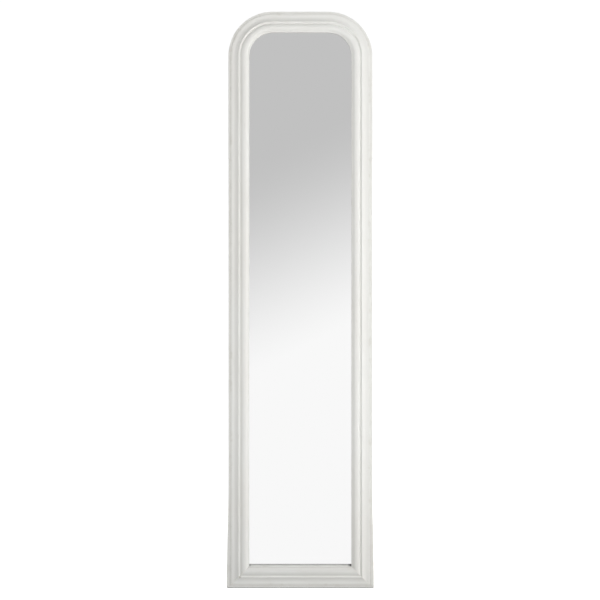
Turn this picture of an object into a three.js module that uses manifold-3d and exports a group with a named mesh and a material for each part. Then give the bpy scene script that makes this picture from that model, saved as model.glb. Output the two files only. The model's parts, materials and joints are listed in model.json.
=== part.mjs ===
// A tall dressing mirror that stands on its own foot and on a folding rear leg.
//
// The moulded frame has square mitred corners at the foot and round corners at the crown. The
// glass lies in a rabbet behind the moulding's lip, with a back panel screwed over it. The rear
// leg hangs from a batten on two butt hinges, and a webbing strap stops it when it is open.
//
// Millimetres. +X is the viewer's right, +Y points to the back and +Z up. The frame is drawn
// upright, its back on y = 0 and its face towards -Y, and the finished mirror is then leant
// back about its foot. The origin is the centre of the bounding box's underside.

import * as THREE from 'three';
import { mergeVertices } from 'three/addons/utils/BufferGeometryUtils.js';
import Module from 'manifold-3d';

const wasm = await Module();
wasm.setup();

// ---- Driving dimensions ----

const WIDTH = 400; // over the frame, above its flared foot
const HEIGHT = 1600; // along the face
const CORNER_RADIUS = 123; // outer radius of the crown's two round corners
const LEAN = THREE.MathUtils.degToRad(7); // the face, back from plumb
const LEG_SPLAY = THREE.MathUtils.degToRad(9); // the rear leg, out from plumb
const HINGE_HEIGHT = 1120; // the hinge axis, up the frame from its foot
const GAP = 0.3; // clearance between pieces that touch
const PAST = 6; // how far a cutting tool runs past what it cuts

// The moulding's section: distances in from its outer edge, heights above its back.
const MEMBER = 58; // the face width of the moulding
const EASED_EDGE = 2; // rounding of the outer arris
const FILLET = { inner: 7.3, height: 21 };
const FLAT = { inner: 14, height: 22.5 };
const RIDGE = { outer: 28, inner: 29.6, height: 27 };
const GROOVE = { outer: 32, height: 24.7 };
const ROLL = { centre: 44.3, halfWidth: 11.5, base: 21, rise: 7.5 };
const LIP = { outer: 53.2, rise: 24.9, height: 23.8 };
const GLASS_RABBET = { edge: 47, depth: 18 }; // depth is from the back of the frame
const PANEL_REBATE = { edge: 38, depth: 3.6 };
const FLARE = { out: 4.5, height: 300, lap: 1 }; // how the foot's outer edge spreads

const GLASS = { edge: 49, foot: 50, thickness: 4 };
const PANEL_THICKNESS = 3;
const GLAZING_STRIP = { height: 6.4, thickness: 2.5 };
const SETTING_BLOCK = { length: 40, at: 80 };
const CUSHION = { width: 8, trim: 60 }; // foam strips between the glass and the panel

const BATTEN = { length: 376, height: 55, thickness: 18, screwAt: 178, screwInset: 14 };
const PANEL_SCREWS = { sideHeights: [250, 750, 1300], topAt: 50, footAt: 90, in: 42.5 };

const LEG = { width: 280, stile: 28, thickness: 18, topRail: 50, lowerRail: 40, railThickness: 12 };
const LEG_RAIL_DROP = 1050; // the lower rail's centre line, below the hinge axis

const HINGE = { at: 80, width: 50, leaf: 1.5, reach: 30, barrel: 3.4, pin: 1.6, bore: 1.9 };
const BARREL_CLEARANCE = 0.1; // between the barrel and the face that the leaves lie on
const HINGE_SLOT = 1; // from the hinge axis to the batten, and to the leg
const PIN_HEAD = { length: 1.2, proud: 0.9, ease: 0.4 };
const KNUCKLE = { centre: 8.6, gap: 0.4, root: 4 }; // the middle knuckle's half length
const HINGE_SCREW = { at: 15, drop: 17 };

const FOOT_STRIP = { thickness: 0.9, length: 408, back: 5.5, front: 14.7 };
const LEG_PAD = { thickness: 4, inset: 1.5 };

const STRAP = { width: 25, thickness: 1.6, tab: 26, screwHeight: 42, bend: 3 };
const WASHER = { radius: 7, hole: 2.4, thickness: 1 };

// Screws: a countersunk one sinks flush, and a pan head stands on what it holds.
const PANEL_SCREW = { shank: 1.5, head: 3.4, length: 14, sink: 2.2 };
const BATTEN_SCREW = { shank: 2, head: 4.2, length: 34, sink: 2.6 };
const JOINT_SCREW = { shank: 2, head: 4.2, length: 52, sink: 2.6 };
const LEAF_SCREW = { shank: 1.6, head: 3.3, length: 14, dome: 1.6 };
const STRAP_SCREW = { shank: 1.8, head: 3.6, length: 14, dome: 1.6 };
const SCREW_POINT = 3;
const PAN_HEAD_FLAT = 0.6; // the share of a pan head's radius that is flat on top

// How many flat sides stand for a full turn.
const SIDES_OF = { screw: 10, pin: 16, washer: 20, corner: 48 };

// ---- Worked out from the above ----

const HALF = WIDTH / 2;
const CORNER_X = HALF - CORNER_RADIUS;
const CORNER_Z = HEIGHT - CORNER_RADIUS;
const OPENING = LEAN + LEG_SPLAY; // how far the leg stands off the frame's back
const BACKSET = HINGE.barrel + BARREL_CLEARANCE; // the hinge axis, behind the leaves' seat
const HINGE_Y = GAP + BATTEN.thickness + BACKSET;
const FLOOR_DROP = FOOT_STRIP.thickness * Math.cos(LEAN); // the floor, below the frame's pivot
const HINGE_WORLD_Z =
  HINGE_HEIGHT * Math.cos(LEAN) - HINGE_Y * Math.sin(LEAN) + FLOOR_DROP;
const MOULDING_HEIGHT = ROLL.base + ROLL.rise;
const PANEL_BACK = -GAP;
const PANEL_FRONT = PANEL_BACK - PANEL_THICKNESS;
const GLASS_FRONT = -(GLASS_RABBET.depth - GAP);
const GLASS_BACK = GLASS_FRONT + GLASS.thickness;
const LEG_BACK = -BACKSET; // the leg's own frame has its origin on the hinge axis
const LEG_FRONT = LEG_BACK - LEG.thickness;
const RAIL_FRONT = LEG_BACK - LEG.railThickness;
const WASHER_OFFSET = GAP + STRAP.thickness + GAP; // off the wood, over the strap
const STRAP_LAYERS = WASHER_OFFSET + WASHER.thickness + GAP;
const STRAP_SEAT = PANEL_BACK + STRAP_LAYERS;

const FINISHES = {
  paintedWood: { color: 0xeeeeea, roughness: 0.55, metalness: 0 },
  hardboard: { color: 0x8a6a48, roughness: 0.8, metalness: 0 },
  silvered: { color: 0xf2f4f4, roughness: 0.02, metalness: 1 },
  steel: { color: 0xa9abad, roughness: 0.35, metalness: 1 },
  rubber: { color: 0x3a3a3a, roughness: 0.85, metalness: 0 },
  foam: { color: 0xd8d4c8, roughness: 0.95, metalness: 0 },
  webbing: { color: 0xe4e0d4, roughness: 0.9, metalness: 0 },
};

// ---- Solids ----

function solidOf(geometry) {
  const bare = geometry.clone();
  bare.deleteAttribute('normal');
  bare.deleteAttribute('uv');
  const merged = mergeVertices(bare, 1e-4);
  return new wasm.Manifold(
    new wasm.Mesh({
      numProp: 3,
      vertProperties: new Float32Array(merged.attributes.position.array),
      triVerts: new Uint32Array(merged.index.array),
    }),
  );
}

function geometryOf(solid) {
  const mesh = solid.getMesh();
  const geometry = new THREE.BufferGeometry();
  geometry.setAttribute('position', new THREE.BufferAttribute(mesh.vertProperties, 3));
  geometry.setIndex(new THREE.BufferAttribute(mesh.triVerts, 1));
  geometry.computeVertexNormals();
  return geometry;
}

function cut(geometry, ...tools) {
  let solid = solidOf(geometry);
  for (const tool of tools) solid = solid.subtract(solidOf(tool));
  return geometryOf(solid);
}

function join(first, ...others) {
  let solid = solidOf(first);
  for (const other of others) solid = solid.add(solidOf(other));
  return geometryOf(solid);
}

function block([x0, x1], [y0, y1], [z0, z1]) {
  const box = new THREE.BoxGeometry(x1 - x0, y1 - y0, z1 - z0);
  return box.translate((x0 + x1) / 2, (y0 + y1) / 2, (z0 + z1) / 2);
}

// A flat outline given in x and z, from the depth `front` to the depth `back`.
function plate(shape, front, back, curveSegments = 8) {
  const settings = { depth: back - front, bevelEnabled: false, curveSegments };
  return new THREE.ExtrudeGeometry(shape, settings).rotateX(Math.PI / 2).translate(0, back, 0);
}

// A section given in y and z, from the width `left` to the width `right`.
function sectionAcross(shape, left, right) {
  const settings = { depth: right - left, bevelEnabled: false, curveSegments: 4 };
  const toRow = new THREE.Matrix4().makeBasis(
    new THREE.Vector3(0, 1, 0),
    new THREE.Vector3(0, 0, 1),
    new THREE.Vector3(1, 0, 0),
  );
  return new THREE.ExtrudeGeometry(shape, settings).applyMatrix4(toRow).translate(left, 0, 0);
}

function outline(points) {
  return new THREE.Shape(points.map(([u, v]) => new THREE.Vector2(u, v)));
}

function turned(points, sides = SIDES_OF.screw) {
  return new THREE.LatheGeometry(points.map(([r, h]) => new THREE.Vector2(r, h)), sides);
}

// A rod along X.
function rod(radius, x0, x1) {
  const cylinder = new THREE.CylinderGeometry(radius, radius, x1 - x0, SIDES_OF.pin);
  return cylinder.rotateZ(Math.PI / 2).translate((x0 + x1) / 2, 0, 0);
}

// ---- Screws, driven along -Y from a head whose seat is at y = 0 ----

function countersunkScrew({ shank, head, length, sink }) {
  return turned([[0, -length], [shank, SCREW_POINT - length], [shank, -sink], [head, 0], [0, 0]]);
}

function countersunkHole({ shank, head, length, sink }) {
  return turned([
    [0, -length - GAP],
    [shank + GAP, SCREW_POINT - length - GAP],
    [shank + GAP, -sink - GAP],
    [head + GAP, -GAP],
    [head + GAP, PAST],
    [0, PAST],
  ]);
}

function panHeadScrew({ shank, head, length, dome }) {
  return turned([
    [0, -length],
    [shank, SCREW_POINT - length],
    [shank, 0],
    [head, 0],
    [head, dome / 2],
    [head * PAN_HEAD_FLAT, dome],
    [0, dome],
  ]);
}

function panHeadHole({ shank, length }) {
  return turned([
    [0, -length - GAP],
    [shank + GAP, SCREW_POINT - length - GAP],
    [shank + GAP, PAST],
    [0, PAST],
  ]);
}

// ---- Screws' places: x, y of the head's seat, z ----

const PANEL_SCREW_X = HALF - PANEL_SCREWS.in;
const SIDE_SCREW_PLACES = PANEL_SCREWS.sideHeights.flatMap((z) => [
  [-PANEL_SCREW_X, PANEL_BACK, z],
  [PANEL_SCREW_X, PANEL_BACK, z],
]);
const TOP_SCREW_PLACES = [-1, 1].map((side) => [
  side * PANEL_SCREWS.topAt,
  PANEL_BACK,
  HEIGHT - PANEL_SCREWS.in,
]);
const FOOT_SCREW_PLACES = [-1, 1].map((side) => [
  side * PANEL_SCREWS.footAt,
  PANEL_BACK,
  PANEL_SCREWS.in,
]);
const PANEL_SCREW_PLACES = [...SIDE_SCREW_PLACES, ...TOP_SCREW_PLACES, ...FOOT_SCREW_PLACES];

const BATTEN_FOOT = HINGE_HEIGHT + HINGE_SLOT;
const BATTEN_BACK = GAP + BATTEN.thickness;
const BATTEN_SCREW_PLACES = [-1, 1].flatMap((side) =>
  [BATTEN.screwInset, BATTEN.height - BATTEN.screwInset].map((rise) => [
    side * BATTEN.screwAt,
    BATTEN_BACK,
    BATTEN_FOOT + rise,
  ]),
);

const LEAF_SEAT = GAP + HINGE.leaf + GAP; // off the wood, over the leaf
const LEAF_SCREW_X = [-1, 1].flatMap((side) => [
  side * HINGE.at - HINGE_SCREW.at,
  side * HINGE.at + HINGE_SCREW.at,
]);

function placedAt(geometry, [x, y, z]) {
  return geometry.translate(x, y, z);
}

function panelScrewHoles(side) {
  return SIDE_SCREW_PLACES.filter(([x]) => Math.sign(x) === side).map((place) =>
    placedAt(countersunkHole(PANEL_SCREW), place),
  );
}

function battenScrewHoles(side) {
  return BATTEN_SCREW_PLACES.filter(([x]) => Math.sign(x) === side).map((place) =>
    placedAt(countersunkHole(BATTEN_SCREW), place),
  );
}

// ---- The moulded frame ----

function mouldingShape() {
  const shape = new THREE.Shape();
  shape.moveTo(0, 0);
  shape.lineTo(0, FILLET.height - EASED_EDGE);
  shape.quadraticCurveTo(0, FILLET.height, EASED_EDGE, FILLET.height);
  shape.lineTo(FILLET.inner, FILLET.height);
  shape.lineTo(FILLET.inner, FLAT.height);
  shape.lineTo(FLAT.inner, FLAT.height);
  const coveTurn = (FLAT.inner + RIDGE.outer) / 2;
  shape.quadraticCurveTo(coveTurn, FLAT.height, RIDGE.outer, RIDGE.height);
  shape.lineTo(RIDGE.inner, RIDGE.height);
  shape.lineTo(GROOVE.outer, GROOVE.height);
  const rollStart = Math.PI - Math.asin((GROOVE.height - ROLL.base) / ROLL.rise);
  const rollEnd = Math.acos((LIP.outer - ROLL.centre) / ROLL.halfWidth);
  shape.absellipse(ROLL.centre, ROLL.base, ROLL.halfWidth, ROLL.rise, rollStart, rollEnd, true);
  shape.lineTo(LIP.outer, LIP.rise);
  shape.lineTo(MEMBER, LIP.height);
  shape.lineTo(MEMBER, GLASS_RABBET.depth);
  shape.lineTo(GLASS_RABBET.edge, GLASS_RABBET.depth);
  shape.lineTo(GLASS_RABBET.edge, PANEL_REBATE.depth);
  shape.lineTo(PANEL_REBATE.edge, PANEL_REBATE.depth);
  shape.lineTo(PANEL_REBATE.edge, 0);
  return shape;
}

// A straight length of moulding whose outer edge starts at `start` and which grows `inward`.
function mouldingBar(start, inward, length) {
  const settings = { depth: length, bevelEnabled: false, curveSegments: 4 };
  const front = new THREE.Vector3(0, -1, 0);
  const along = new THREE.Vector3().crossVectors(inward, front);
  const place = new THREE.Matrix4().makeBasis(inward, front, along).setPosition(start);
  return new THREE.ExtrudeGeometry(mouldingShape(), settings).applyMatrix4(place);
}

// The wedge past a foot mitre: below the mitre for a stile, above it for the bottom rail.
function mitreWedge(side, keepsAbove) {
  const reach = MEMBER + PAST;
  const lift = keepsAbove ? GAP / 2 : -GAP / 2;
  const outer = side * (HALF + PAST);
  const inner = side * (HALF - reach);
  const corner = keepsAbove ? [inner, lift - PAST] : [outer, reach + lift];
  const wedge = outline([[outer, lift - PAST], [inner, reach + lift], corner]);
  return plate(wedge, -MOULDING_HEIGHT - PAST, PAST);
}

function flareSliver(side) {
  const shape = new THREE.Shape();
  const edge = side * HALF;
  const foot = side * (HALF + FLARE.out);
  shape.moveTo(edge - side * FLARE.lap, 0);
  shape.lineTo(foot, 0);
  shape.bezierCurveTo(foot, FLARE.height / 3, edge, FLARE.height * (2 / 3), edge, FLARE.height);
  shape.lineTo(edge - side * FLARE.lap, FLARE.height);
  return plate(shape, -FILLET.height, 0);
}

function stile(side) {
  const top = CORNER_Z - GAP / 2;
  const start = new THREE.Vector3(side * HALF, 0, side > 0 ? 0 : top);
  const bar = join(mouldingBar(start, new THREE.Vector3(-side, 0, 0), top), flareSliver(side));
  return cut(bar, mitreWedge(side, true), ...panelScrewHoles(side), ...battenScrewHoles(side));
}

function bottomRail() {
  const bar = mouldingBar(new THREE.Vector3(-HALF, 0, 0), new THREE.Vector3(0, 0, 1), WIDTH);
  const strapHole = placedAt(panHeadHole(STRAP_SCREW), [0, STRAP_SEAT, STRAP.screwHeight]);
  const holes = FOOT_SCREW_PLACES.map((place) => placedAt(countersunkHole(PANEL_SCREW), place));
  return cut(bar, mitreWedge(-1, false), mitreWedge(1, false), strapHole, ...holes);
}

function topRail() {
  const length = 2 * CORNER_X - GAP;
  const start = new THREE.Vector3(length / 2, 0, HEIGHT);
  const bar = mouldingBar(start, new THREE.Vector3(0, 0, -1), length);
  const holes = TOP_SCREW_PLACES.map((place) => placedAt(countersunkHole(PANEL_SCREW), place));
  return cut(bar, ...holes);
}

function roundCorner(side) {
  const section = mouldingShape().getPoints(4);
  const points = section.map((p) => new THREE.Vector2(CORNER_RADIUS - p.x, p.y));
  points.push(points[0].clone());
  const ring = new THREE.LatheGeometry(points, SIDES_OF.corner).rotateX(Math.PI);
  ring.translate(side * CORNER_X, 0, CORNER_Z);
  const near = side * (CORNER_X + GAP / 2);
  const far = side * (HALF + PAST);
  const quadrant = block(
    [Math.min(near, far), Math.max(near, far)],
    [-MOULDING_HEIGHT - PAST, PAST],
    [CORNER_Z + GAP / 2, HEIGHT + PAST],
  );
  return geometryOf(solidOf(ring).intersect(solidOf(quadrant)));
}

// ---- What the frame holds ----

// A pane that keeps `inset` inside the frame's outer edge, with its foot at the height `foot`.
function paneShape(inset, foot) {
  const half = HALF - inset;
  const radius = CORNER_RADIUS - inset;
  const shape = new THREE.Shape();
  shape.moveTo(-half, foot);
  shape.lineTo(half, foot);
  shape.lineTo(half, CORNER_Z);
  shape.absarc(CORNER_X, CORNER_Z, radius, 0, Math.PI / 2, false);
  shape.absarc(-CORNER_X, CORNER_Z, radius, Math.PI / 2, Math.PI, false);
  return shape;
}

function backPanel() {
  const inset = PANEL_REBATE.edge + GAP;
  const sheet = plate(paneShape(inset, inset), PANEL_FRONT, PANEL_BACK);
  const holes = PANEL_SCREW_PLACES.map((place) => placedAt(countersunkHole(PANEL_SCREW), place));
  const strapHole = placedAt(panHeadHole(STRAP_SCREW), [0, STRAP_SEAT, STRAP.screwHeight]);
  return cut(sheet, ...holes, strapHole);
}

function glazingStrip() {
  const reach = HALF - MEMBER - GAP;
  const front = GLASS_FRONT - GAP - GLAZING_STRIP.thickness;
  const foot = MEMBER + GAP;
  return block([-reach, reach], [front, GLASS_FRONT - GAP], [foot, foot + GLAZING_STRIP.height]);
}

function settingBlock(side) {
  const half = SETTING_BLOCK.length / 2;
  return block(
    [side * SETTING_BLOCK.at - half, side * SETTING_BLOCK.at + half],
    [GLASS_FRONT, GLASS_BACK],
    [GLASS_RABBET.edge + GAP, GLASS.foot - GAP],
  );
}

function glassCushion(side) {
  const outer = side * (HALF - GLASS.edge);
  const inner = outer - side * CUSHION.width;
  return block(
    [Math.min(outer, inner), Math.max(outer, inner)],
    [GLASS_BACK + GAP, PANEL_FRONT - GAP],
    [GLASS.foot + CUSHION.trim, CORNER_Z - CUSHION.trim],
  );
}

// ---- The batten and the hinges ----

function hingeBatten() {
  const bar = block(
    [-BATTEN.length / 2, BATTEN.length / 2],
    [GAP, BATTEN_BACK],
    [BATTEN_FOOT, BATTEN_FOOT + BATTEN.height],
  );
  const ends = [-1, 1].flatMap((side) => battenScrewHoles(side));
  const leaves = LEAF_SCREW_X.map((x) =>
    placedAt(panHeadHole(LEAF_SCREW), [x, BATTEN_BACK + LEAF_SEAT, HINGE_HEIGHT + HINGE_SCREW.drop]),
  );
  return cut(bar, ...ends, ...leaves);
}

// A hinge leaf about an axis on X at the origin, with its plate going up (1) or down (-1).
function hingeLeaf(up, knuckles) {
  const [seat, face] = [GAP - BACKSET, GAP - BACKSET + HINGE.leaf];
  const half = HINGE.width / 2;
  const rise = (from, to) => (up > 0 ? [from, to] : [-to, -from]);
  const sheet = block([-half, half], [seat, face], rise(KNUCKLE.root, HINGE.reach));
  const barrels = knuckles.map(([x0, x1]) => rod(HINGE.barrel, x0, x1));
  const roots = knuckles.map(([x0, x1]) => block([x0, x1], [seat, face], rise(0, KNUCKLE.root + GAP)));
  const bore = rod(HINGE.bore, -half - PAST, half + PAST);
  const holes = [-1, 1].map((side) =>
    placedAt(panHeadHole(LEAF_SCREW), [side * HINGE_SCREW.at, face, up * HINGE_SCREW.drop]),
  );
  return cut(join(sheet, ...barrels, ...roots), bore, ...holes);
}

function frameLeaf() {
  const near = KNUCKLE.centre + KNUCKLE.gap;
  const half = HINGE.width / 2;
  return hingeLeaf(1, [[-half, -near], [near, half]]);
}

function legLeaf() {
  return hingeLeaf(-1, [[-KNUCKLE.centre, KNUCKLE.centre]]);
}

function hingePin() {
  const shoulder = HINGE.width / 2 + GAP;
  const end = shoulder + PIN_HEAD.length;
  const cap = HINGE.pin + PIN_HEAD.proud;
  const half = [[0, -end], [cap, PIN_HEAD.ease - end], [cap, -shoulder], [HINGE.pin, -shoulder]];
  const otherHalf = half.map(([r, h]) => [r, -h]).reverse();
  return turned([...half, ...otherHalf], SIDES_OF.pin).rotateZ(Math.PI / 2);
}

// ---- The rear leg, in its own frame: folded flat, with the origin on the hinge axis ----

// The height of a level surface in the leg's frame, at the depth y and `above` the floor.
function levelOnLeg(y, above) {
  return (above - HINGE_WORLD_Z - y * Math.sin(LEG_SPLAY)) / Math.cos(LEG_SPLAY);
}

const LEG_TOP = -HINGE_SLOT;
const JOINT_SCREW_DROPS = [-LEG_TOP + LEG.topRail / 2, LEG_RAIL_DROP];
const RAIL_REACH = LEG.width / 2 - LEG.stile - GAP;

function jointScrewHoles(side) {
  const seat = (side * LEG.width) / 2;
  return JOINT_SCREW_DROPS.map((drop, i) =>
    placedAt(countersunkHole(JOINT_SCREW).rotateZ((-side * Math.PI) / 2), [seat, jointDepth(i), -drop]),
  );
}

// The joint screws run down the middle of each rail's thickness.
function jointDepth(i) {
  return i === 0 ? (LEG_FRONT + LEG_BACK) / 2 : (RAIL_FRONT + LEG_BACK) / 2;
}

function legStile(side) {
  const foot = LEG_PAD.thickness;
  const section = outline([
    [LEG_FRONT, LEG_TOP],
    [LEG_FRONT, levelOnLeg(LEG_FRONT, foot)],
    [LEG_BACK, levelOnLeg(LEG_BACK, foot)],
    [LEG_BACK, LEG_TOP],
  ]);
  const edges = [side * (LEG.width / 2), side * (LEG.width / 2 - LEG.stile)];
  const bar = sectionAcross(section, Math.min(...edges), Math.max(...edges));
  return cut(bar, ...jointScrewHoles(side));
}

function legPad(side) {
  const [front, back] = [LEG_FRONT + LEG_PAD.inset, LEG_BACK - LEG_PAD.inset];
  const top = LEG_PAD.thickness - GAP;
  const section = outline([
    [front, levelOnLeg(front, top)],
    [front, levelOnLeg(front, 0)],
    [back, levelOnLeg(back, 0)],
    [back, levelOnLeg(back, top)],
  ]);
  const outer = side * (LEG.width / 2 - LEG_PAD.inset);
  const inner = side * (LEG.width / 2 - LEG.stile + LEG_PAD.inset);
  return sectionAcross(section, Math.min(outer, inner), Math.max(outer, inner));
}

function legTopRail() {
  const bar = block([-RAIL_REACH, RAIL_REACH], [LEG_FRONT, LEG_BACK], [LEG_TOP - LEG.topRail, LEG_TOP]);
  const leaves = LEAF_SCREW_X.map((x) =>
    placedAt(panHeadHole(LEAF_SCREW), [x, LEG_BACK + LEAF_SEAT, -HINGE_SCREW.drop]),
  );
  return cut(bar, ...leaves, ...jointScrewHoles(-1), ...jointScrewHoles(1));
}

function legLowerRail() {
  const half = LEG.lowerRail / 2;
  const bar = block(
    [-RAIL_REACH, RAIL_REACH],
    [RAIL_FRONT, LEG_BACK],
    [-LEG_RAIL_DROP - half, -LEG_RAIL_DROP + half],
  );
  const strapHole = panHeadHole(STRAP_SCREW).rotateX(Math.PI);
  placedAt(strapHole, [0, RAIL_FRONT - STRAP_LAYERS, -LEG_RAIL_DROP]);
  return cut(bar, strapHole, ...jointScrewHoles(-1), ...jointScrewHoles(1));
}

// ---- The strap, fixed to the bottom rail and to the leg's lower rail ----

// A point of the open leg's own frame, in the upright frame that the mirror is drawn in.
function fromLeg(y, z) {
  const [s, c] = [Math.sin(OPENING), Math.cos(OPENING)];
  return new THREE.Vector2(HINGE_Y + y * c - z * s, HINGE_HEIGHT + y * s + z * c);
}

// The strap's middle line: up the panel, out to the leg, and up the leg's lower rail.
function strapLine() {
  const y = PANEL_BACK + GAP + STRAP.thickness / 2;
  const legY = RAIL_FRONT - GAP - STRAP.thickness / 2;
  const footZ = STRAP.screwHeight - STRAP.tab / 2;
  return {
    panelTab: new THREE.Vector2(y, footZ),
    panelBend: new THREE.Vector2(y, footZ + STRAP.tab),
    legBend: fromLeg(legY, -LEG_RAIL_DROP - STRAP.tab / 2),
    legTab: fromLeg(legY, -LEG_RAIL_DROP + STRAP.tab / 2),
  };
}

function strapShape() {
  const { panelTab, panelBend, legBend, legTab } = strapLine();
  const run = legBend.clone().sub(panelBend).normalize();
  const bends = [
    [panelTab, panelBend, run],
    [panelBend, legBend, legTab.clone().sub(legBend).normalize()],
  ];
  const path = [panelTab];
  for (const [before, corner, after] of bends) {
    const arriving = corner.clone().sub(before).normalize();
    const curve = new THREE.QuadraticBezierCurve(
      corner.clone().addScaledVector(arriving, -STRAP.bend),
      corner,
      corner.clone().addScaledVector(after, STRAP.bend),
    );
    path.push(...curve.getPoints(3));
  }
  path.push(legTab);
  const side = (offset) => path.map((point, i) => {
    const from = path[Math.max(i - 1, 0)];
    const to = path[Math.min(i + 1, path.length - 1)];
    const along = to.clone().sub(from).normalize();
    return new THREE.Vector2(point.x - along.y * offset, point.y + along.x * offset);
  });
  const half = STRAP.thickness / 2;
  return new THREE.Shape([...side(half), ...side(-half).reverse()]);
}

function strap() {
  const band = sectionAcross(strapShape(), -STRAP.width / 2, STRAP.width / 2);
  const panelEnd = placedAt(panHeadHole(STRAP_SCREW), [0, STRAP_SEAT, STRAP.screwHeight]);
  const legEnd = panHeadHole(STRAP_SCREW).rotateX(Math.PI + OPENING);
  const seat = fromLeg(RAIL_FRONT - STRAP_LAYERS, -LEG_RAIL_DROP);
  placedAt(legEnd, [0, seat.x, seat.y]);
  return cut(band, panelEnd, legEnd);
}

function washer() {
  const { radius, hole, thickness } = WASHER;
  const ring = [[hole, 0], [radius, 0], [radius, thickness], [hole, thickness], [hole, 0]];
  return turned(ring, SIDES_OF.washer);
}

// ---- Feet ----

// A strip under the bottom rail, thicker towards its front so that it lies flat on the floor.
function footStrip() {
  const slope = Math.tan(LEAN);
  const { thickness, length, back, front } = FOOT_STRIP;
  const section = outline([
    [-front, -GAP],
    [-front, -thickness - front * slope],
    [-back, -thickness - back * slope],
    [-back, -GAP],
  ]);
  return sectionAcross(section, -length / 2, length / 2);
}

// ---- Assembly ----

function piece(name, geometry, finish, place = [0, 0, 0]) {
  const mesh = new THREE.Mesh(geometry, new THREE.MeshStandardMaterial(FINISHES[finish]));
  mesh.name = name;
  mesh.position.set(...place);
  return mesh;
}

const SIDES = [['left', -1], ['right', 1]];
const frame = new THREE.Group();
const leg = new THREE.Group();

frame.add(
  piece('top_rail', topRail(), 'paintedWood'),
  piece('bottom_rail', bottomRail(), 'paintedWood'),
  piece('mirror_glass', plate(paneShape(GLASS.edge, GLASS.foot), GLASS_FRONT, GLASS_BACK), 'silvered'),
  piece('glazing_strip', glazingStrip(), 'rubber'),
  piece('foot_strip', footStrip(), 'rubber'),
  piece('back_panel', backPanel(), 'hardboard'),
  piece('hinge_batten', hingeBatten(), 'paintedWood'),
  piece('stay_strap', strap(), 'webbing'),
  piece('strap_screw_frame', panHeadScrew(STRAP_SCREW), 'steel', [0, STRAP_SEAT, STRAP.screwHeight]),
  piece('strap_washer_frame', washer(), 'steel', [0, PANEL_BACK + WASHER_OFFSET, STRAP.screwHeight]),
);

for (const [name, side] of SIDES) {
  frame.add(
    piece(`${name}_stile`, stile(side), 'paintedWood'),
    piece(`${name}_corner`, roundCorner(side), 'paintedWood'),
    piece(`setting_block_${name}`, settingBlock(side), 'rubber'),
    piece(`glass_cushion_${name}`, glassCushion(side), 'foam'),
    piece(`hinge_leaf_frame_${name}`, frameLeaf(), 'steel', [side * HINGE.at, HINGE_Y, HINGE_HEIGHT]),
    piece(`hinge_pin_${name}`, hingePin(), 'steel', [side * HINGE.at, HINGE_Y, HINGE_HEIGHT]),
  );
  leg.add(
    piece(`leg_stile_${name}`, legStile(side), 'paintedWood'),
    piece(`leg_pad_${name}`, legPad(side), 'rubber'),
    piece(`hinge_leaf_leg_${name}`, legLeaf(), 'steel', [side * HINGE.at, 0, 0]),
  );
}

PANEL_SCREW_PLACES.forEach((place, i) => {
  frame.add(piece(`panel_screw_${i + 1}`, countersunkScrew(PANEL_SCREW), 'steel', place));
});

BATTEN_SCREW_PLACES.forEach((place, i) => {
  frame.add(piece(`batten_screw_${i + 1}`, countersunkScrew(BATTEN_SCREW), 'steel', place));
});

LEAF_SCREW_X.forEach((x, i) => {
  const onBatten = [x, BATTEN_BACK + LEAF_SEAT, HINGE_HEIGHT + HINGE_SCREW.drop];
  const onLeg = [x, LEG_BACK + LEAF_SEAT, -HINGE_SCREW.drop];
  frame.add(piece(`hinge_screw_frame_${i + 1}`, panHeadScrew(LEAF_SCREW), 'steel', onBatten));
  leg.add(piece(`hinge_screw_leg_${i + 1}`, panHeadScrew(LEAF_SCREW), 'steel', onLeg));
});

JOINT_SCREW_DROPS.forEach((drop, i) => {
  for (const [name, side] of SIDES) {
    const screw = countersunkScrew(JOINT_SCREW).rotateZ((-side * Math.PI) / 2);
    const place = [(side * LEG.width) / 2, jointDepth(i), -drop];
    leg.add(piece(`leg_screw_${name}_${i + 1}`, screw, 'steel', place));
  }
});

const legStrapScrew = panHeadScrew(STRAP_SCREW).rotateX(Math.PI);
const legStrapWasher = washer().rotateX(Math.PI);
leg.add(
  piece('leg_top_rail', legTopRail(), 'paintedWood'),
  piece('leg_lower_rail', legLowerRail(), 'paintedWood'),
  piece('strap_screw_leg', legStrapScrew, 'steel', [0, RAIL_FRONT - STRAP_LAYERS, -LEG_RAIL_DROP]),
  piece('strap_washer_leg', legStrapWasher, 'steel', [0, RAIL_FRONT - WASHER_OFFSET, -LEG_RAIL_DROP]),
);

leg.position.set(0, HINGE_Y, HINGE_HEIGHT);
leg.rotation.x = OPENING;
frame.add(leg);
frame.rotation.x = -LEAN;

const mirror = new THREE.Group();
mirror.add(frame);
mirror.updateMatrixWorld(true);
const box = new THREE.Box3().setFromObject(mirror, true);
mirror.position.set(-(box.min.x + box.max.x) / 2, -(box.min.y + box.max.y) / 2, -box.min.z);

export default mirror;
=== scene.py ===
"""Looks for the cheval floor mirror: fine mouldings, silvered glass, boards, hinges, screws, strap.

Metres, in the row frame. Most pieces are drawn in one of two drawing frames. In the upright frame
the mirror stands plumb, its back on y = 0, its face towards -Y and its foot on z = 0. In the leg's
frame the leg hangs folded, with the origin on the hinge axis.
"""

import json
import math

import bmesh
import bpy
from mathutils import Matrix, Vector


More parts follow.
